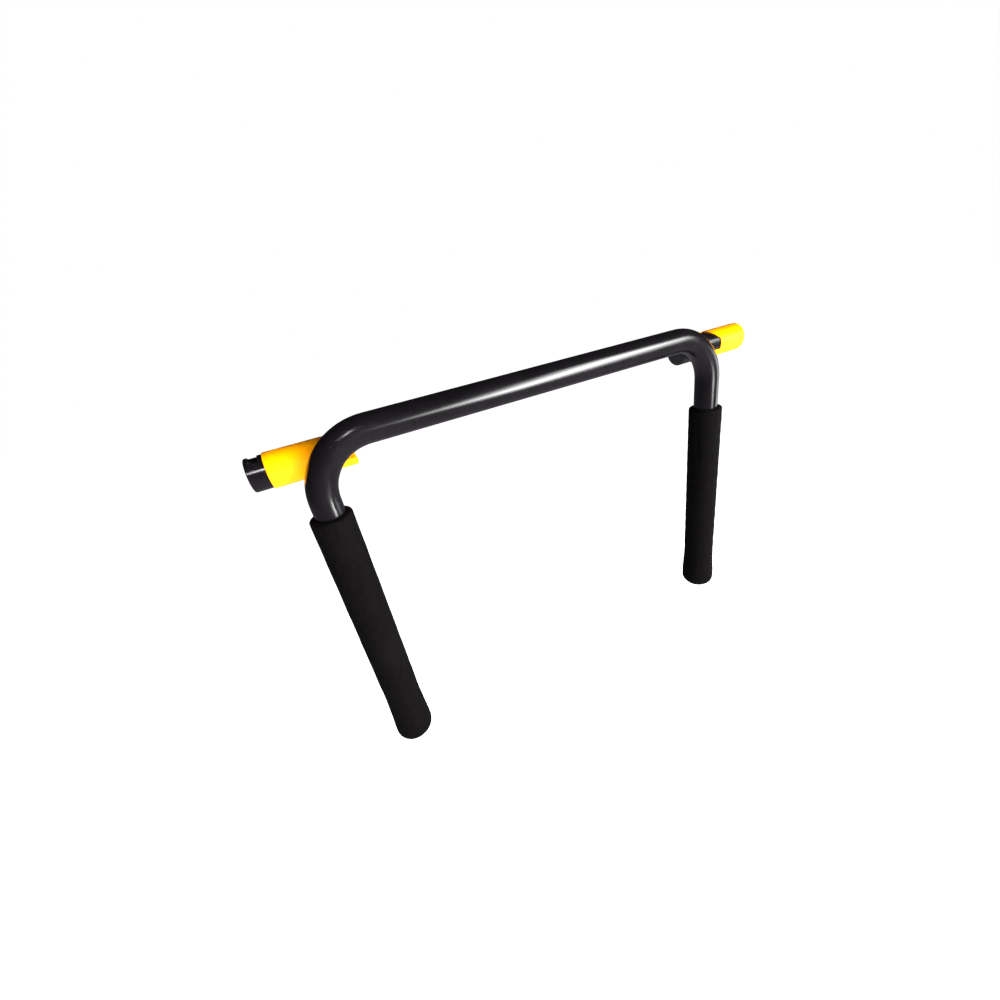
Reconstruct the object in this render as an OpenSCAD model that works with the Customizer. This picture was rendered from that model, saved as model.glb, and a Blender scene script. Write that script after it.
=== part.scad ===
/* [Main bar] */

// Outside diameter of the bent steel tube
tube_d = 30; // [25:0.5:38]

// Wall thickness of the bent steel tube
tube_wall = 2; // [1.5:0.1:3]

// Distance between the axes of the two legs
leg_spacing = 502; // [440:1:620]

// Centreline radius of the two bends
bend_r = 58; // [50:1:90]

// Top bar axis down to the cut end of each leg
leg_drop = 391; // [300:1:450]

// Top bar axis in front of the socket axis
bar_forward = 36; // [34:0.5:50]

// Top bar axis above the socket axis
bar_up = 22.5; // [0:0.5:30]

/* [Foam grips] */

// Outside diameter of each grip
grip_d = 42; // [36:0.5:50]

// Top bar axis down to the upper lip of the left grip
left_grip_start = 72; // [66:1:120]

// Top bar axis down to the upper lip of the right grip
right_grip_start = 97; // [66:1:120]

// Top bar axis down to the rounded tip of each grip
grip_end = 400; // [310:1:470]

// How much wider the grip gets at its tip, on the radius
grip_flare = 2; // [0:0.1:3]

// Length over which the tip widens
grip_flare_length = 55; // [20:1:120]

// Rounding of the upper lip
grip_lip_r = 2.5; // [1:0.1:5]

// Rounding of the closed tip
grip_tip_r = 16; // [8:0.5:20]

/* [Sockets] */

// Outside diameter of each socket tube
socket_d = 34; // [30:0.5:36]

// Wall thickness of each socket tube
socket_wall = 3; // [2:0.1:4]

// Middle of the bar to the closed inner end of each socket tube
socket_inner = 236; // [225:1:240]

// Middle of the bar to the open mouth of each socket tube
socket_outer = 307; // [290:0.5:330]

// Length of the catch window at the top of each mouth
window_length = 9.5; // [5:0.5:14]

// Width of the catch window
window_width = 20; // [8:0.5:24]

// Rim left between the catch window and the mouth
window_rim = 3; // [2:0.5:8]

/* [Lugs] */

// Middle of the bar to the inner side of each lug
lug_start = 238; // [230:1:242]

// Length of each lug along the socket
lug_length = 6; // [5:1:8]

// Thickness of each lug
lug_thickness = 8; // [5:0.5:10]

// Radius of the weld beads
weld_r = 1.6; // [1:0.1:2.5]

/* [Lock sleeves] */

// Outside diameter of each sleeve
sleeve_d = 36.6; // [35:0.1:40]

// Gap on the radius between sleeve and socket tube
sleeve_gap = 0.08; // [0.03:0.01:0.1]

// Length of each sleeve
sleeve_length = 82; // [70:1:100]

// Middle of the bar to a sleeve's outer end when it is drawn back
sleeve_back = 290; // [289:0.5:293]

// Travel of each sleeve
sleeve_travel = 52; // [40:1:52]

// Length of the slot that passes over the lug
slot_length = 37; // [36.5:0.5:44]

// Length of that slot at the top of the sleeve
slot_top_length = 24; // [10:1:36]

// Half height of that slot at the front
slot_half = 7; // [6.5:0.5:9]

// How far behind the top of the sleeve that slot reaches
slot_back = 3; // [0:0.5:5]

/* [Lock screws] */

// Sleeve's inner end to the axis of its lock screw
screw_place = 40; // [40:0.5:42]

// Thread diameter of the lock screw
screw_d = 6; // [5:0.5:8]

// Diameter of the pilot tip that runs in the guide slot
tip_d = 4.8; // [3:0.1:6]

// Diameter of the welded boss
boss_d = 12; // [10:0.5:16]

// Socket axis to the outer face of the boss
boss_reach = 24; // [21:0.5:30]

// Diameter of the knob
knob_d = 16; // [12:0.5:24]

// Thickness of the knob
knob_height = 9; // [6:0.5:14]

// Number of finger scallops on the knob
knob_scallops = 8; // [5:1:12]

/* [Hidden] */

// Roundness
$fn = 96;

// Cutters run past the faces they open by this much
eps = 1;

// Radii
tube_r = tube_d / 2;
tube_bore_r = tube_r - tube_wall;
grip_r = grip_d / 2;
socket_r = socket_d / 2;
socket_bore_r = socket_r - socket_wall;
sleeve_r = sleeve_d / 2;
sleeve_bore_r = socket_r + sleeve_gap;
screw_r = screw_d / 2;
tip_r = tip_d / 2;
knob_r = knob_d / 2;

// Leg axis and the point where each bend starts
leg_x = leg_spacing / 2;
bend_x = leg_x - bend_r;

// Heights on the legs, from the socket axis
leg_end_z = bar_up - leg_drop;
grip_tip_z = bar_up - grip_end;

// Leg plugs and socket plugs
plug_head = 2;
leg_plug_depth = 15;
socket_plug_depth = 9;
plug_rib = 1.2;
plug_hollow = 3;

// Turned seat for the plug inside each socket
plug_seat = socket_inner + socket_plug_depth;
plug_seat_r = socket_bore_r + 0.6;

// Guide slot for the pilot tip
slot_r = tip_r + 0.3;
guide_start = sleeve_back - sleeve_length + screw_place;
guide_end = guide_start + sleeve_travel;

// Lock screw stations along its axis
screw_seat = socket_r + 0.3;
tip_end = socket_bore_r + 0.4;
knob_gap = 1;
knob_seat = boss_reach + knob_gap;
screw_depth_in_knob = 6;
screw_clearance = 0.05;
knob_hub_r = 5.5;
scallop_r = 2.4;
sleeve_hole_r = screw_r + 0.3;

// Broken edges
sleeve_chamfer = 0.4;
mouth_chamfer = 0.8;

// Lug limits and the seams along it
lug_end = lug_start + lug_length;
lug_half = lug_thickness / 2;
seam_angle = asin(lug_half / socket_r);
upper_seam_start = [lug_start + 0.6, -21.1, 4.2];
upper_seam_end = [lug_end - 0.6, -22.3, 4.2];
lower_seam_start = [lug_start + 0.6, -21.2, -4.2];
lower_seam_end = [lug_end - 0.6, -21.1, -4.2];

bar_color = [0.05, 0.045, 0.05];
foam_color = [0.09, 0.08, 0.09];
sleeve_color = [0.98, 0.82, 0.02];
plug_color = [0.12, 0.12, 0.13];
steel_color = [0.6, 0.6, 0.62];

// Ring section of a tube
module ring(outer, inner) {
  difference() {
    circle(r = outer);
    circle(r = inner);
  }
}

// Everything is drawn for the right-hand side and mirrored for the left
module on_side(left) {
  mirror([left ? 1 : 0, 0, 0]) children();
}

// Cylinder along X from one station to another
module along_x(from, to, r) {
  translate([from, 0, 0]) rotate([0, 90, 0]) cylinder(r = r, h = to - from);
}

// Cylinder along Y, towards the rear, from one station to another
module along_y(from, to, r) {
  translate([0, from, 0]) rotate([-90, 0, 0]) cylinder(r = r, h = to - from);
}

// Straight rod between two points
module rod(a, b, r) {
  v = b - a;
  translate(a)
    rotate([0, acos(v[2] / norm(v)), atan2(v[1], v[0])])
      cylinder(r = r, h = norm(v));
}

// Quarter bend around the bend centre, with its section as the child
module quarter_bend() {
  translate([bend_x, -bar_forward, bar_up - bend_r])
    rotate([90, 0, 0])
      rotate_extrude(angle = 90) translate([bend_r, 0]) children();
}

// The bar's solid envelope near one bend, used to cope what is welded to it
module bend_envelope() {
  quarter_bend() circle(r = tube_r);
  translate([0, -bar_forward, bar_up]) along_x(bend_x - 2 * tube_d, bend_x, tube_r);
}

module main_tube() {
  color(bar_color) union() {
    translate([-bend_x, -bar_forward, bar_up])
      rotate([0, 90, 0])
        linear_extrude(2 * bend_x) ring(tube_r, tube_bore_r);
    for (left = [false, true]) on_side(left) {
      quarter_bend() ring(tube_r, tube_bore_r);
      translate([leg_x, -bar_forward, leg_end_z])
        linear_extrude(leg_drop - bend_r) ring(tube_r, tube_bore_r);
    }
  }
}

// Half section of a grip: lip, barrel, widening tip and closed round end
module grip_section(start) {
  grip_top_z = bar_up - start;
  difference() {
    union() {
      polygon([
        [0, grip_tip_z + grip_tip_r],
        [grip_r + grip_flare, grip_tip_z + grip_tip_r],
        [grip_r, grip_tip_z + grip_flare_length],
        [grip_r, grip_top_z - grip_lip_r],
        [0, grip_top_z - grip_lip_r]
      ]);
      translate([0, grip_top_z - grip_lip_r])
        square([grip_r - grip_lip_r, grip_lip_r]);
      translate([grip_r - grip_lip_r, grip_top_z - grip_lip_r])
        circle(r = grip_lip_r);
      translate([0, grip_tip_z])
        square([grip_r + grip_flare - grip_tip_r, grip_tip_r]);
      translate([grip_r + grip_flare - grip_tip_r, grip_tip_z + grip_tip_r])
        circle(r = grip_tip_r);
    }
    translate([0, leg_end_z - plug_head])
      square([tube_r, grip_top_z - leg_end_z + plug_head + eps]);
    translate([-grip_d, grip_tip_z - eps])
      square([grip_d, grip_end]);
  }
}

module foam_grip(left) {
  color(foam_color) on_side(left)
    translate([leg_x, -bar_forward, 0])
      rotate_extrude() grip_section(left ? left_grip_start : right_grip_start);
}

// Plug pushed into a tube's end: flat head, hollow stem with two ribs
module plug(head_r, bore_r, depth) {
  difference() {
    union() {
      translate([0, 0, -plug_head]) cylinder(r = head_r, h = plug_head);
      cylinder(r = bore_r - plug_rib, h = depth);
      for (z = [depth / 4, depth * 3 / 4])
        translate([0, 0, z - plug_rib / 2]) cylinder(r = bore_r, h = plug_rib);
    }
    cylinder(r = bore_r - plug_rib - plug_hollow, h = depth + eps);
  }
}

module leg_plug(left) {
  color(plug_color) on_side(left)
    translate([leg_x, -bar_forward, leg_end_z])
      plug(tube_r, tube_bore_r, leg_plug_depth);
}

module socket_plug(left) {
  color(plug_color) on_side(left)
    translate([socket_inner, 0, 0]) rotate([0, 90, 0])
      plug(socket_r, plug_seat_r, socket_plug_depth);
}

// Cutter that breaks the outer edge of a socket's mouth
module mouth_bevel() {
  translate([socket_outer, 0, 0]) rotate([0, 90, 0])
    rotate_extrude() polygon([
      [socket_r - mouth_chamfer, eps / 10],
      [socket_r + eps, eps / 10],
      [socket_r + eps, -mouth_chamfer - eps / 10],
      [socket_r, -mouth_chamfer]
    ]);
}

module socket_tube(left) {
  color(bar_color) on_side(left) difference() {
    along_x(socket_inner, socket_outer, socket_r);
    along_x(socket_inner - eps, socket_outer + eps, socket_bore_r);
    along_x(socket_inner - eps, plug_seat, plug_seat_r);
    mouth_bevel();
    translate([socket_outer - window_rim - window_length, -window_width / 2, 0])
      cube([window_length, window_width, socket_d]);
    for (x = [guide_start, guide_end])
      translate([x, 0, 0]) along_y(0, socket_d, slot_r);
    translate([guide_start, 0, -slot_r])
      cube([sleeve_travel, socket_d, 2 * slot_r]);
  }
}

// Block that joins a socket tube to the back of the bend, before coping
module lug_block() {
  translate([lug_start, -bar_forward, -lug_half])
      cube([lug_length, bar_forward, lug_thickness]);
}

module lug(left) {
  color(bar_color) on_side(left) difference() {
    lug_block();
    along_x(lug_start - eps, lug_end + eps, socket_r);
    bend_envelope();
  }
}

// Straight beads along the lug's sides: two at the socket, coped to it, and
// two sunk into the bend as a weld is
module weld_beads(left) {
  color(bar_color) on_side(left) {
    for (a = [-seam_angle, seam_angle]) difference() {
      rotate([a, 0, 0])
        translate([0, -socket_r - weld_r / 4, 0])
          along_x(lug_start + weld_r / 4, lug_end - weld_r / 4, weld_r);
      lug_block();
      along_x(socket_inner, socket_outer, socket_r);
    }
    rod(upper_seam_start, upper_seam_end, weld_r);
    rod(lower_seam_start, lower_seam_end, weld_r);
  }
}

// Places a sleeve part: the left sleeve is drawn back, the right one is run out
module on_sleeve(left) {
  on_side(left)
    translate([sleeve_back - sleeve_length + (left ? 0 : sleeve_travel), 0, 0])
      children();
}

// Cutter that opens the slot around the lug, drawn from the front: square at
// the lug, then slanting back over the top
module slot_cutter() {
  translate([0, slot_back, 0]) rotate([90, 0, 0])
    linear_extrude(sleeve_d)
      polygon([
        [-eps, -slot_half],
        [slot_length, -slot_half],
        [slot_length, slot_half],
        [slot_top_length, sleeve_r],
        [slot_top_length, sleeve_r + eps],
        [-eps, sleeve_r + eps]
      ]);
}

module sleeve(left) {
  color(sleeve_color) on_sleeve(left) difference() {
    rotate([0, 90, 0]) rotate_extrude() polygon([
      [0, 0],
      [sleeve_r - sleeve_chamfer, 0],
      [sleeve_r, sleeve_chamfer],
      [sleeve_r, sleeve_length - sleeve_chamfer],
      [sleeve_r - sleeve_chamfer, sleeve_length],
      [0, sleeve_length]
    ]);
    along_x(-eps, sleeve_length + eps, sleeve_bore_r);
    slot_cutter();
    translate([screw_place, 0, 0]) along_y(0, sleeve_d, sleeve_hole_r);
  }
}

module boss(left) {
  color(sleeve_color) on_sleeve(left) difference() {
    translate([screw_place, 0, 0]) along_y(0, boss_reach, boss_d / 2);
    along_x(0, sleeve_length, sleeve_r);
    translate([screw_place, 0, 0])
      along_y(-eps, boss_reach + eps, screw_r + screw_clearance);
  }
}

module knob(left) {
  color(plug_color) on_sleeve(left) translate([screw_place, 0, 0])
    difference() {
      union() {
        along_y(knob_seat, knob_seat + knob_height, knob_r);
        along_y(knob_seat - knob_gap / 2, knob_seat, knob_hub_r);
      }
      for (i = [0 : knob_scallops - 1])
        rotate([0, i * 360 / knob_scallops, 0])
          translate([knob_r + scallop_r / 2, 0, 0])
            along_y(knob_seat - eps, knob_seat + knob_height + eps, scallop_r);
      along_y(knob_seat - eps, knob_seat + screw_depth_in_knob, screw_r);
    }
}

module screw(left) {
  color(steel_color) on_sleeve(left) translate([screw_place, 0, 0])
    along_y(screw_seat, knob_seat + screw_depth_in_knob, screw_r);
}

module screw_tip(left) {
  color(plug_color) on_sleeve(left) translate([screw_place, 0, 0])
    along_y(tip_end, screw_seat, tip_r);
}

main_tube();
foam_grip(true);  // left_foam_grip
foam_grip(false);  // right_foam_grip
leg_plug(true);  // left_leg_plug
leg_plug(false);  // right_leg_plug
socket_tube(true);  // left_socket_tube
socket_tube(false);  // right_socket_tube
lug(true);  // left_lug
lug(false);  // right_lug
weld_beads(true);  // left_weld_beads
weld_beads(false);  // right_weld_beads
socket_plug(true);  // left_socket_plug
socket_plug(false);  // right_socket_plug
sleeve(true);  // left_sleeve
sleeve(false);  // right_sleeve
boss(true);  // left_boss
boss(false);  // right_boss
knob(true);  // left_knob
knob(false);  // right_knob
screw(true);  // left_screw
screw(false);  // right_screw
screw_tip(true);  // left_screw_tip
screw_tip(false);  // right_screw_tip
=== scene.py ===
import math

import bmesh
import bpy
import numpy as np
from mathutils import Matrix, Quaternion, Vector


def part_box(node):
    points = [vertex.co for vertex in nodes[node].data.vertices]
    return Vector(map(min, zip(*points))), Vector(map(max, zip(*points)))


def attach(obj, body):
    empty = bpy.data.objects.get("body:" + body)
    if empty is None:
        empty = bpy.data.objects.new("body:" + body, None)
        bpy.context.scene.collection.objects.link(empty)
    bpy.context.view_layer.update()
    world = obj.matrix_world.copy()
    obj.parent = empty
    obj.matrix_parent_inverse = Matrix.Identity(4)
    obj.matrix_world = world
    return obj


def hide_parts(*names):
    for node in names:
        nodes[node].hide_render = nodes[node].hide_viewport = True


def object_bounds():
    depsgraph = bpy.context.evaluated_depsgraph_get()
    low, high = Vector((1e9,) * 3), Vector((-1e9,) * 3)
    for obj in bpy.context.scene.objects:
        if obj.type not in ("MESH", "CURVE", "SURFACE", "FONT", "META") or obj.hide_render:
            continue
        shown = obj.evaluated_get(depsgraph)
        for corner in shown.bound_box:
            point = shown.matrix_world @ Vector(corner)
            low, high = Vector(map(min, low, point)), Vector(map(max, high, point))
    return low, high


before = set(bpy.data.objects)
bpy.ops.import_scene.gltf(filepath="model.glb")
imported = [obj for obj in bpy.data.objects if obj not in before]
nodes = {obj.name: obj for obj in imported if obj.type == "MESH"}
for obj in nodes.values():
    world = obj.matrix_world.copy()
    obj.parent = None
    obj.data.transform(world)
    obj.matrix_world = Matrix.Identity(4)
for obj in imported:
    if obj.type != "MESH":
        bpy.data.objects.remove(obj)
cad_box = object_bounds()
SIDES = ("left", "right")


# ---------------------------------------------------------------------------
# Main bar, sockets and lugs. One steel tube bent into a U, with the two socket
# tubes and their lugs welded behind its bends, and the whole frame dipped in
# gloss black stoving enamel.

ENAMEL_BLACK = "#070607"
ENAMEL_BLACK_THIN = "#0c0a0d"
ENAMEL_PATCH = 0.045
ENAMEL_PEEL = 0.006


def linear(hex_colour):
    """sRGB hex to linear. A channel is divided by 12.92 near black. Otherwise 0.055 is added, the sum
    is divided by 1.055 and raised to the power 2.4."""
    rgb = [int(hex_colour[i:i + 2], 16) / 255 for i in (1, 3, 5)]
    return [c / 12.92 if c <= 0.04045 else ((c + 0.055) / 1.055) ** 2.4 for c in rgb] + [1.0]


def add(tree, kind, settings=None, values=None, links=None):
    """Adds one node: its settings by attribute, its socket values by name or place, and links into its
    sockets."""
    node = tree.nodes.new(kind)
    for name, value in (settings or {}).items():
        setattr(node, name, value)
    for name, value in (values or {}).items():
        node.inputs[name].default_value = value
    for name, source in (links or {}).items():
        tree.links.new(source, node.inputs[name])
    return node


def start_material(name):
    """An empty material and the tree that its nodes go into."""
    material = bpy.data.materials.new(name)
    material.use_nodes = True
    material.node_tree.nodes.clear()
    return material, material.node_tree


def set_stops(ramp_node, stops):
    """Gives a colour ramp these (place, colour) stops."""
    ramp = ramp_node.color_ramp
    while len(ramp.elements) < len(stops):
        ramp.elements.new(1.0)
    for element, (place, colour) in zip(ramp.elements, stops):
        element.position = place
        element.color = colour


# Stoving enamel over steel: a smooth wet-looking coat that mirrors lamps with
# soft edges. Dipping leaves a very slight peel, 6 mm from crest to crest, and
# handling leaves faint duller patches.
stoving_enamel, t = start_material("gloss_black_stoving_enamel")
place = add(t, "ShaderNodeTexCoord")
patches = add(t, "ShaderNodeTexNoise", values={"Scale": 1 / ENAMEL_PATCH, "Detail": 3.0, "Roughness": 0.55},
              links={"Vector": place.outputs["Object"]})
peel = add(t, "ShaderNodeTexNoise", values={"Scale": 1 / ENAMEL_PEEL, "Detail": 1.0, "Roughness": 0.4},
           links={"Vector": place.outputs["Object"]})
tint = add(t, "ShaderNodeValToRGB", links={"Fac": patches.outputs["Fac"]})
set_stops(tint, [(0.35, linear(ENAMEL_BLACK)), (0.7, linear(ENAMEL_BLACK_THIN))])
dulling = add(t, "ShaderNodeMapRange",
              values={"From Min": 0.3, "From Max": 0.7, "To Min": 0.16, "To Max": 0.20},
              links={"Value": patches.outputs["Fac"]})
ripple = add(t, "ShaderNodeBump", values={"Strength": 0.006, "Distance": 0.0004},
             links={"Height": peel.outputs["Fac"]})
enamel = add(t, "ShaderNodeBsdfPrincipled",
             values={"IOR": 1.5},
             links={"Base Color": tint.outputs["Color"], "Roughness": dulling.outputs["Result"],
                    "Normal": ripple.outputs["Normal"]})
add(t, "ShaderNodeOutputMaterial", links={"Surface": enamel.outputs["BSDF"]})


def paint(node_name, material):
    """Gives a CAD node this material in every slot."""
    mesh = nodes[node_name].data
    mesh.materials.clear()
    mesh.materials.append(material)


paint("main_tube", stoving_enamel)
for side in SIDES:
    paint(side + "_socket_tube", stoving_enamel)
    paint(side + "_lug", stoving_enamel)


# ---------------------------------------------------------------------------
# Weld beads. Each lug is held by four short runs of hand weld, laid down as
# overlapping pools, and enamelled over with the frame.

BEAD_RADIUS = 0.0016
BEAD_POOL = 0.0017
BEAD_RIPPLE = 0.16


def grid_mesh(name, points, caps=True):
    """A mesh over rings of points (rings, columns, 3). Each ring closes on itself, and the first and
    last are each closed by a fan to their own middle when caps is true."""
    rows, columns = points.shape[:2]
    vertices = points.reshape(-1, 3)
    row, column = np.meshgrid(np.arange(rows - 1), np.arange(columns), indexing="ij")
    beside = (column + 1) % columns
    quads = np.stack([row * columns + column, row * columns + beside,
                      (row + 1) * columns + beside, (row + 1) * columns + column], axis=-1).reshape(-1, 4)
    faces = quads.tolist()
    if caps:
        vertices = np.concatenate([vertices, points[0].mean(0)[None], points[-1].mean(0)[None]])
        ring = np.arange(columns)
        after = (ring + 1) % columns
        first, last = rows * columns, rows * columns + 1
        faces += np.stack([np.full(columns, first), after, ring], axis=-1).tolist()
        faces += np.stack([np.full(columns, last), (rows - 1) * columns + ring,
                           (rows - 1) * columns + after], axis=-1).tolist()
    mesh = bpy.data.meshes.new(name)
    mesh.from_pydata(vertices.tolist(), [], faces)
    mesh.update()
    return mesh


def bead_points(start, end, rings=73, around=18):
    """A bead along a line. Its radius is the bead radius less a ripple that dips where two pools meet,
    and it closes to a round end over the first and last radius, as half of a circle does."""
    start, end = np.array(start), np.array(end)
    length = np.linalg.norm(end - start)
    along = (end - start) / length
    side_way = np.cross(along, [0.0, 0.0, 1.0])
    side_way /= np.linalg.norm(side_way)
    up_way = np.cross(side_way, along)
    travel = np.linspace(0.0, length, rings)
    from_end = np.minimum(travel, length - travel)
    closing = np.sqrt(np.clip(1 - (1 - np.clip(from_end / BEAD_RADIUS, 0, 1)) ** 2, 0.02, 1))
    pools = 1 - BEAD_RIPPLE * np.abs(np.cos(math.pi * travel / BEAD_POOL)) ** 3
    radius = BEAD_RADIUS * closing * pools
    turn = np.linspace(0, 2 * math.pi, around, endpoint=False)
    spoke = np.cos(turn)[:, None] * side_way + np.sin(turn)[:, None] * up_way
    return start + travel[:, None, None] * along + radius[:, None, None] * spoke[None]


def join(name, meshes):
    """One mesh from several, in the order given."""
    work = bmesh.new()
    for mesh in meshes:
        work.from_mesh(mesh)
    joined = bpy.data.meshes.new(name)
    work.to_mesh(joined)
    work.free()
    return joined


def face_outwards(mesh):
    """Turns every face of closed shells outwards."""
    work = bmesh.new()
    work.from_mesh(mesh)
    bmesh.ops.recalc_face_normals(work, faces=work.faces)
    work.to_mesh(mesh)
    work.free()


def add_piece(name, mesh, material, body, replaced):
    """Puts a finished mesh into the scene as a smooth piece that rides on a body and stands for CAD
    nodes."""
    face_outwards(mesh)
    mesh.polygons.foreach_set("use_smooth", [True] * len(mesh.polygons))
    piece = bpy.data.objects.new(name, mesh)
    bpy.context.scene.collection.objects.link(piece)
    mesh.materials.append(material)
    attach(piece, body)
    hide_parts(*replaced)
    return piece


SOCKET_RADIUS = 0.017
LUG_HALF = 0.004
SEAM_INSET = 0.0006
# Where each seam starts and ends beside the lug, as (y, z). The first two lie
# along the socket tube and the last two along the back of the bend.
SOCKET_SEAM = -math.sqrt((SOCKET_RADIUS + BEAD_RADIUS / 4) ** 2 - LUG_HALF ** 2)
SEAMS = (((SOCKET_SEAM, LUG_HALF), (SOCKET_SEAM, LUG_HALF)),
         ((SOCKET_SEAM, -LUG_HALF), (SOCKET_SEAM, -LUG_HALF)),
         ((-0.0211, 0.0042), (-0.0223, 0.0042)),
         ((-0.0212, -0.0042), (-0.0211, -0.0042)))
for side, toward in zip(SIDES, (-1, 1)):
    low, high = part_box(side + "_lug")
    inner, outer = sorted((abs(low.x), abs(high.x)))
    starts, ends = toward * (inner + SEAM_INSET), toward * (outer - SEAM_INSET)
    beads = [grid_mesh("bead", bead_points((starts, *first), (ends, *last))) for first, last in SEAMS]
    add_piece(side + "_weld_runs", join(side + "_weld_runs", beads), stoving_enamel, "bar",
              [side + "_weld_beads"])


# ---------------------------------------------------------------------------
# Foam grips. Closed-cell rubber foam, moulded as a long cup with a bulbed round
# end and pushed over each leg. It grips the tube by its stretch, so its wall
# shows slow waves and a shallow crease where it was worked up the leg.

FOAM_DARK = "#040303"
FOAM_LIGHT = "#070606"
FOAM_WORN = "#0a0909"
GRIP_RADIUS = 0.021
TUBE_RADIUS = 0.015
LIP_RADIUS = 0.0025
BULB = 0.0020
BULB_REACH = 0.050
GRIP_RINGS = 420
GRIP_AROUND = 120
TUBE_GAP = 0.0002
WAVE_HEIGHT = 0.00055
CREASE_DEPTH = 0.0011
CELL = 0.0011


def grip_profile(top, tip, rows):
    """(radius, height) down a grip. The outside falls straight from the rounded lip, swells by a half
    cosine into the bulb near the tip and closes as a superellipse. Equal steps are taken along its
    length."""
    lip = np.linspace(math.pi, math.pi / 2, 9)
    lip_in = np.stack([TUBE_RADIUS + TUBE_GAP + LIP_RADIUS * 0.5 * (1 + np.cos(lip)),
                       top - LIP_RADIUS * 0.5 * (1 - np.sin(lip))], 1)
    lip_out_angle = np.linspace(math.pi / 2, 0, 13)
    lip_out = np.stack([GRIP_RADIUS - LIP_RADIUS * (1 - np.cos(lip_out_angle)),
                        top - LIP_RADIUS * (1 - np.sin(lip_out_angle))], 1)
    cap = GRIP_RADIUS + BULB
    straight_end = tip + cap * 0.74
    height = np.linspace(top - LIP_RADIUS, straight_end, 400)[1:]
    swell = np.clip((straight_end + BULB_REACH - height) / BULB_REACH, 0, 1)
    wall = np.stack([GRIP_RADIUS + BULB * 0.5 * (1 - np.cos(math.pi * swell)), height], 1)
    angle = np.linspace(0, math.pi / 2, 40)[1:]
    power = 2 / 2.35
    end = np.stack([cap * np.cos(angle) ** power,
                    straight_end - (straight_end - tip) * np.sin(angle) ** power], 1)
    outside = np.concatenate([lip_in, lip_out, wall, end])
    step = np.concatenate([[0], np.cumsum(np.linalg.norm(np.diff(outside, axis=0), axis=1))])
    even = np.linspace(0, step[-1], rows)
    return np.stack([np.interp(even, step, outside[:, 0]), np.interp(even, step, outside[:, 1])], 1)


def waves(turn, height, seed):
    """A slow uneven swell over the wall: a sum of eight sines, each with its own turn count round the
    grip, pitch down it and phase, which are drawn from a seeded generator."""
    draw = np.random.default_rng(seed)
    total = np.zeros(np.broadcast(turn, height).shape)
    for _ in range(8):
        count = draw.integers(0, 4)
        pitch = draw.uniform(0.016, 0.06)
        phase = draw.uniform(0, 2 * math.pi, 2)
        total += np.sin(count * turn + phase[0]) * np.sin(2 * math.pi * height / pitch + phase[1])
    return total / 8


def grip_points(middle, top, tip, floor, seed, crease_turn):
    """Rings of a grip from the pole of its tip up the outside, over the lip and down the bore to the
    bore's floor. The waves fade out at the lip and the tip, and the crease is a narrow dent that fades
    down the wall."""
    outside = grip_profile(top, tip, GRIP_RINGS)[::-1]
    bore = np.stack([np.full(12, TUBE_RADIUS + TUBE_GAP), np.linspace(top - 0.004, floor, 12)], 1)
    profile = np.concatenate([outside, bore])
    turn = np.linspace(0, 2 * math.pi, GRIP_AROUND, endpoint=False)[None]
    radius, height = profile[:, :1], profile[:, 1:]
    on_wall = np.clip((radius - TUBE_RADIUS - 0.003) / 0.003, 0, 1)
    fade = on_wall * np.clip((height - tip) / 0.03, 0, 1) * np.clip((top - height) / 0.02, 0.15, 1)
    swell = WAVE_HEIGHT * waves(turn, height, seed) * fade
    away = np.angle(np.exp(1j * (turn - crease_turn - 0.5 * (top - height) / 0.15)))
    crease = -CREASE_DEPTH * on_wall * np.exp(-(away / 0.10) ** 2 - ((height - top + 0.045) / 0.035) ** 2)
    ring = radius + swell + crease
    return np.stack([middle[0] + ring * np.cos(turn), middle[1] + ring * np.sin(turn),
                     np.broadcast_to(height, ring.shape)], -1)


# Closed-cell foam: thousands of sub-millimetre cells break the light up, so it
# is matt, with a weak sheen at a glancing angle. The cells are drawn at 1.1 mm,
# coarser than life, so that they show. Hands polish it into paler patches.
closed_cell_foam, t = start_material("closed_cell_rubber_foam")
place = add(t, "ShaderNodeTexCoord")
cells = add(t, "ShaderNodeTexVoronoi", values={"Scale": 1 / CELL, "Randomness": 1.0},
            links={"Vector": place.outputs["Object"]})
lumps = add(t, "ShaderNodeTexNoise", values={"Scale": 1 / 0.006, "Detail": 4.0, "Roughness": 0.6},
            links={"Vector": place.outputs["Object"]})
rubbed = add(t, "ShaderNodeTexNoise", values={"Scale": 1 / 0.07, "Detail": 3.0, "Roughness": 0.5},
             links={"Vector": place.outputs["Object"]})
shade = add(t, "ShaderNodeValToRGB", links={"Fac": lumps.outputs["Fac"]})
set_stops(shade, [(0.3, linear(FOAM_DARK)), (0.75, linear(FOAM_LIGHT))])
wear = add(t, "ShaderNodeMapRange", values={"From Min": 0.55, "From Max": 0.8, "To Min": 0.0, "To Max": 0.45},
           links={"Value": rubbed.outputs["Fac"]})
worn = add(t, "ShaderNodeMix", {"data_type": "RGBA"}, {"B": linear(FOAM_WORN)},
           {"Factor": wear.outputs["Result"], "A": shade.outputs["Color"]})
pits = add(t, "ShaderNodeMapRange", values={"From Min": 0.0, "From Max": 0.5, "To Min": 0.0, "To Max": 1.0},
           links={"Value": cells.outputs["Distance"]})
surface = add(t, "ShaderNodeMath", {"operation": "MULTIPLY_ADD"}, {1: 0.6},
              {0: pits.outputs["Result"], 2: lumps.outputs["Fac"]})
relief = add(t, "ShaderNodeBump", values={"Strength": 0.35, "Distance": 0.0004},
             links={"Height": surface.outputs["Value"]})
foam = add(t, "ShaderNodeBsdfPrincipled",
           values={"Roughness": 0.82, "IOR": 1.45, "Specular IOR Level": 0.04, "Sheen Weight": 0.003,
                   "Sheen Roughness": 0.5},
           links={"Base Color": worn.outputs["Result"], "Normal": relief.outputs["Normal"]})
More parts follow.
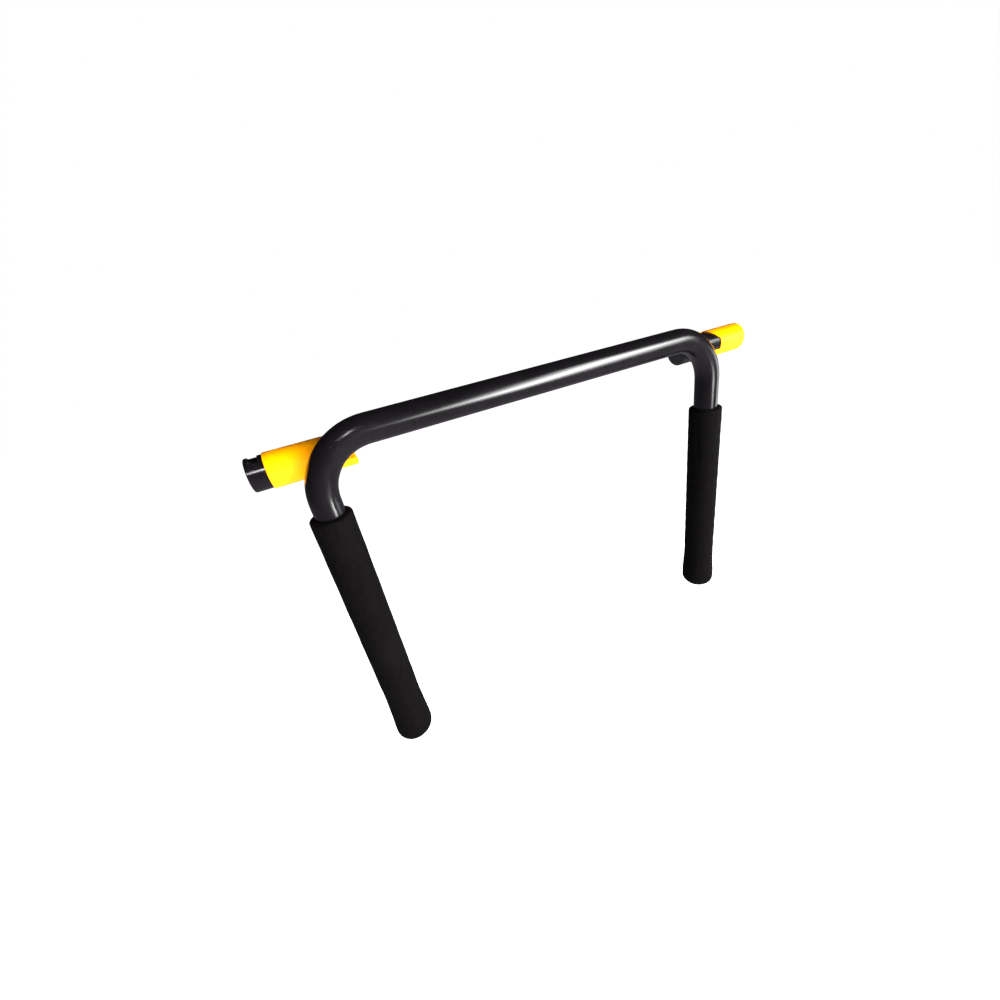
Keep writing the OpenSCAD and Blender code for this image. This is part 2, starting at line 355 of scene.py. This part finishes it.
add(t, "ShaderNodeOutputMaterial", links={"Surface": foam.outputs["BSDF"]})

for side, seed, crease_turn in (("left", 11, math.radians(-35)), ("right", 29, math.radians(-170))):
    low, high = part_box(side + "_foam_grip")
    middle = ((low.x + high.x) / 2, (low.y + high.y) / 2)
    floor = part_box(side + "_leg_plug")[0].z
    points = grip_points(middle, high.z, low.z, floor, seed, crease_turn)
    grip = add_piece(side + "_grip", grid_mesh(side + "_grip", points), closed_cell_foam, "bar",
                     [side + "_foam_grip"])


# ---------------------------------------------------------------------------
# Lock sleeves. Thin steel tube, slotted to pass the lug, with a small threaded
# boss welded on, painted golden yellow so that its place can be seen.

SLEEVE_YELLOW = "#f99e00"
SLEEVE_AMBER = "#f89a00"

# Sprayed alkyd enamel: opaque and saturated, much softer in its shine than the
# frame, with a 3 mm orange peel and a slow drift in its tint and shine.
yellow_enamel, t = start_material("sprayed_yellow_enamel")
place = add(t, "ShaderNodeTexCoord")
drift = add(t, "ShaderNodeTexNoise", values={"Scale": 1 / 0.03, "Detail": 2.0, "Roughness": 0.5},
            links={"Vector": place.outputs["Object"]})
peel = add(t, "ShaderNodeTexNoise", values={"Scale": 1 / 0.003, "Detail": 2.0, "Roughness": 0.45},
           links={"Vector": place.outputs["Object"]})
tint = add(t, "ShaderNodeValToRGB", links={"Fac": drift.outputs["Fac"]})
set_stops(tint, [(0.3, linear(SLEEVE_AMBER)), (0.6, linear(SLEEVE_YELLOW))])
dulling = add(t, "ShaderNodeMapRange", values={"From Min": 0.3, "From Max": 0.7, "To Min": 0.3, "To Max": 0.4},
              links={"Value": drift.outputs["Fac"]})
ripple = add(t, "ShaderNodeBump", values={"Strength": 0.05, "Distance": 0.0004},
             links={"Height": peel.outputs["Fac"]})
paint_coat = add(t, "ShaderNodeBsdfPrincipled", values={"IOR": 1.48, "Specular IOR Level": 0.12},
                 links={"Base Color": tint.outputs["Color"], "Roughness": dulling.outputs["Result"],
                        "Normal": ripple.outputs["Normal"]})
add(t, "ShaderNodeOutputMaterial", links={"Surface": paint_coat.outputs["BSDF"]})

for side in SIDES:
    paint(side + "_sleeve", yellow_enamel)
    paint(side + "_boss", yellow_enamel)


# ---------------------------------------------------------------------------
# Plugs and pilot tips. Injection-moulded black nylon: the plugs close the tube
# ends, and the tips run in the guide slots behind the sleeves.

NYLON_BLACK = "#1b1b1d"
NYLON_PALE = "#28282b"

# Moulded nylon: a fine spark-eroded grain, drawn at 0.7 mm, and a low shine.
moulded_nylon, t = start_material("moulded_black_nylon")
place = add(t, "ShaderNodeTexCoord")
grain = add(t, "ShaderNodeTexNoise", values={"Scale": 1 / 0.0007, "Detail": 3.0, "Roughness": 0.6},
            links={"Vector": place.outputs["Object"]})
flow = add(t, "ShaderNodeTexNoise", values={"Scale": 1 / 0.012, "Detail": 2.0, "Roughness": 0.5},
           links={"Vector": place.outputs["Object"]})
tint = add(t, "ShaderNodeValToRGB", links={"Fac": flow.outputs["Fac"]})
set_stops(tint, [(0.3, linear(NYLON_BLACK)), (0.75, linear(NYLON_PALE))])
relief = add(t, "ShaderNodeBump", values={"Strength": 0.2, "Distance": 0.0002},
             links={"Height": grain.outputs["Fac"]})
nylon = add(t, "ShaderNodeBsdfPrincipled", values={"IOR": 1.53, "Roughness": 0.45},
            links={"Base Color": tint.outputs["Color"], "Normal": relief.outputs["Normal"]})
add(t, "ShaderNodeOutputMaterial", links={"Surface": nylon.outputs["BSDF"]})

for side in SIDES:
    for part in ("_leg_plug", "_socket_plug", "_screw_tip"):
        paint(side + part, moulded_nylon)


# ---------------------------------------------------------------------------
# Lock screws. A zinc-plated steel screw moulded into a small scalloped nylon
# knob. It turns in the boss behind each sleeve.

ZINC_BRIGHT = "#c9cbd0"
ZINC_DARK = "#a2a5ab"
KNOB_SCALLOPS = 8
KNOB_DISH = 0.0006
KNOB_SEAT_GAP = 0.0005

# Bright zinc plate: a pale metal with a faint cloudy bloom.
zinc_plate, t = start_material("bright_zinc_plate")
place = add(t, "ShaderNodeTexCoord")
bloom = add(t, "ShaderNodeTexNoise", values={"Scale": 1 / 0.004, "Detail": 3.0, "Roughness": 0.6},
            links={"Vector": place.outputs["Object"]})
tint = add(t, "ShaderNodeValToRGB", links={"Fac": bloom.outputs["Fac"]})
set_stops(tint, [(0.3, linear(ZINC_DARK)), (0.7, linear(ZINC_BRIGHT))])
cloud = add(t, "ShaderNodeMapRange", values={"From Min": 0.3, "From Max": 0.7, "To Min": 0.24, "To Max": 0.38},
            links={"Value": bloom.outputs["Fac"]})
plate = add(t, "ShaderNodeBsdfPrincipled", values={"Metallic": 1.0},
            links={"Base Color": tint.outputs["Color"], "Roughness": cloud.outputs["Result"]})
add(t, "ShaderNodeOutputMaterial", links={"Surface": plate.outputs["BSDF"]})


def knob_points(middle_x, middle_z, seat, back, radius, around=128):
    """Rings of a knob along +Y. The radius follows a rounded box with a dished face, and each scallop
    takes away a raised cosine of the turn, which fades near the middle of the faces."""
    round_edge = 0.0016
    edge = np.linspace(0, math.pi / 2, 9)
    front = np.stack([radius - round_edge * (1 - np.sin(edge)), seat + round_edge * (1 - np.cos(edge))], 1)
    rear = np.stack([radius - round_edge * (1 - np.cos(edge)), back - round_edge * (1 - np.sin(edge))], 1)
    dish = np.linspace(1, 0, 10)[1:]
    face = np.stack([(radius - round_edge) * dish, back - KNOB_DISH * (1 - dish ** 2)], 1)
    hub = np.array([[0.0004, seat - 0.0004], [0.0030, seat - 0.0004], [0.0052, seat - 0.0004], [0.0054, seat]])
    profile = np.concatenate([hub, front, rear, face[:-1], [[0.0004, back - KNOB_DISH]]])
    turn = np.linspace(0, 2 * math.pi, around, endpoint=False)[None]
    out, along = profile[:, :1], profile[:, 1:]
    bite = np.clip(np.cos(KNOB_SCALLOPS * turn), 0, 1) ** 1.4
    depth = 0.0013 * np.clip((out - 0.0055) / 0.002, 0, 1)
    ring = out - depth * bite
    return np.stack([middle_x + ring * np.cos(turn), np.broadcast_to(along, ring.shape),
                     middle_z + ring * np.sin(turn)], -1)


for side in SIDES:
    low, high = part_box(side + "_knob")
    points = knob_points((low.x + high.x) / 2, (low.z + high.z) / 2, low.y + KNOB_SEAT_GAP, high.y,
                         (high.x - low.x) / 2)
    add_piece(side + "_knob_grip", grid_mesh(side + "_knob_grip", points), moulded_nylon, side + "_lock_screw",
              [side + "_knob"])
    paint(side + "_screw", zinc_plate)


# ---------------------------------------------------------------------------
# Studio: a white sweep below the hanging bar, one broad lamp in front on the
# right, narrow lamps for the bends, legs and left socket, and a dim surround.

CAMERA_LENS = 14.915
CAMERA_PLACE = (-0.2261, -0.4426, 0.1144)
CAMERA_RIGHT = (0.8899, -0.4229, -0.1708)
CAMERA_UP = (0.3304, 0.3396, 0.8806)
CAMERA_BACK = (-0.3144, -0.8401, 0.4420)

camera_data = bpy.data.cameras.new("camera")
camera_data.sensor_width = 36.0
camera_data.lens = CAMERA_LENS
camera_data.clip_start = 0.02
camera = bpy.data.objects.new("camera", camera_data)
bpy.context.scene.collection.objects.link(camera)
axes = Matrix((CAMERA_RIGHT, CAMERA_UP, CAMERA_BACK)).transposed().to_4x4()
axes.translation = Vector(CAMERA_PLACE)
camera.matrix_world = axes
bpy.context.scene.camera = camera

FLOOR_DROP = 0.75
FLOOR_RADIUS = 14.0

# Matt white paper that also glows, so that it stays evenly white and no
# horizon shows.
sweep_white, t = start_material("white_paper_sweep")
paper = add(t, "ShaderNodeBsdfPrincipled",
            values={"Base Color": linear("#f6f6f6"), "Roughness": 0.9, "Emission Color": linear("#ffffff"),
                    "Emission Strength": 1.0})
add(t, "ShaderNodeOutputMaterial", links={"Surface": paper.outputs["BSDF"]})

turn = np.linspace(0, 2 * math.pi, 96, endpoint=False)
reach = np.array([0.001, 2.0, 5.0, FLOOR_RADIUS])[:, None]
disc = np.stack([reach * np.cos(turn), reach * np.sin(turn),
                 np.full((4, 96), cad_box[0][2] - FLOOR_DROP)], -1)
floor_mesh = grid_mesh("floor", disc, caps=False)
floor_mesh.materials.append(sweep_white)
floor_piece = bpy.data.objects.new("floor", floor_mesh)
bpy.context.scene.collection.objects.link(floor_piece)
floor_piece.visible_glossy = False


def lamp(name, aim_at, azimuth, height, distance, size, strength, roll=0.0, spread=180):
    """A rectangular lamp that faces a point from this azimuth (from -Y towards +X) and height in
    degrees, rolled in its own plane, which shines within so many degrees. Its power is its strength
    times its area times pi."""
    around, above = math.radians(azimuth), math.radians(height)
    way = Vector((math.sin(around) * math.cos(above), -math.cos(around) * math.cos(above), math.sin(above)))
    data = bpy.data.lights.new(name, "AREA")
    data.shape = "RECTANGLE"
    data.size, data.size_y = size
    data.spread = math.radians(spread)
    data.energy = strength * size[0] * size[1] * math.pi
    light = bpy.data.objects.new(name, data)
    bpy.context.scene.collection.objects.link(light)
    light.location = Vector(aim_at) + way * distance
    light.rotation_euler = (way.to_track_quat("Z", "Y") @ Quaternion((0, 0, 1), math.radians(roll))).to_euler()
    return light


BAR_MIDDLE = (0.0, -0.036, 0.022)
RIGHT_LEG_TOP = (0.25, -0.036, -0.06)
LEFT_LEG_TOP = (-0.245, -0.05, -0.03)
LEFT_SOCKET_FRONT = (-0.287, -0.016, 0.007)
SOCKET_AXIS_MIDDLE = (0.0, 0.0, 0.0)

# The broad lamp is three sheets of cloth one behind another, so that its
# edges fade. The three fills light the surfaces without showing in the gloss.
for size, strength in (((1.3, 0.35), 34.0), ((1.7, 0.75), 16.0), ((2.2, 1.2), 6.0)):
    lamp("broad_lamp", BAR_MIDDLE, 33, 7, 2.0, size, strength, roll=48)
lamp("side_strip", RIGHT_LEG_TOP, 80, -14, 1.6, (0.9, 0.9), 2.6)
for height in (-17.6, -21.4):
    lamp("leg_strip", LEFT_LEG_TOP, 43, height, 1.0, (0.42, 0.03), 0.5, spread=14)
lamp("window_strip", LEFT_SOCKET_FRONT, -10, 31, 2.0, (0.10, 0.7), 0.4, spread=14)
for name, azimuth, height, size, strength in (("front_fill", -12, -6, (1.6, 1.4), 13.5),
                                              ("right_fill", 60, -5, (1.6, 1.2), 10.0),
                                              ("top_fill", 20, 70, (1.6, 1.6), 0.2)):
    lamp(name, SOCKET_AXIS_MIDDLE, azimuth, height, 2.4, size, strength).visible_glossy = False

world = bpy.data.worlds.new("surround")
bpy.context.scene.world = world
world.use_nodes = True
t = world.node_tree
t.nodes.clear()
seen = add(t, "ShaderNodeLightPath")
way = add(t, "ShaderNodeTexCoord")
height = add(t, "ShaderNodeSeparateXYZ", links={"Vector": way.outputs["Generated"]})
below = add(t, "ShaderNodeMapRange", {"interpolation_type": "SMOOTHSTEP"},
            {"From Min": 0.1, "From Max": -0.9, "To Min": 0.03, "To Max": 0.4}, {"Value": height.outputs["Z"]})
white = add(t, "ShaderNodeBackground", values={"Color": linear("#ffffff"), "Strength": 1.0})
dim = add(t, "ShaderNodeBackground", values={"Color": linear("#ece4f0")},
          links={"Strength": below.outputs["Result"]})
both = add(t, "ShaderNodeMixShader",
           links={0: seen.outputs["Is Camera Ray"], 1: dim.outputs["Background"],
                  2: white.outputs["Background"]})
add(t, "ShaderNodeOutputWorld", links={"Surface": both.outputs["Shader"]})

bpy.context.scene.view_settings.view_transform = "Standard"
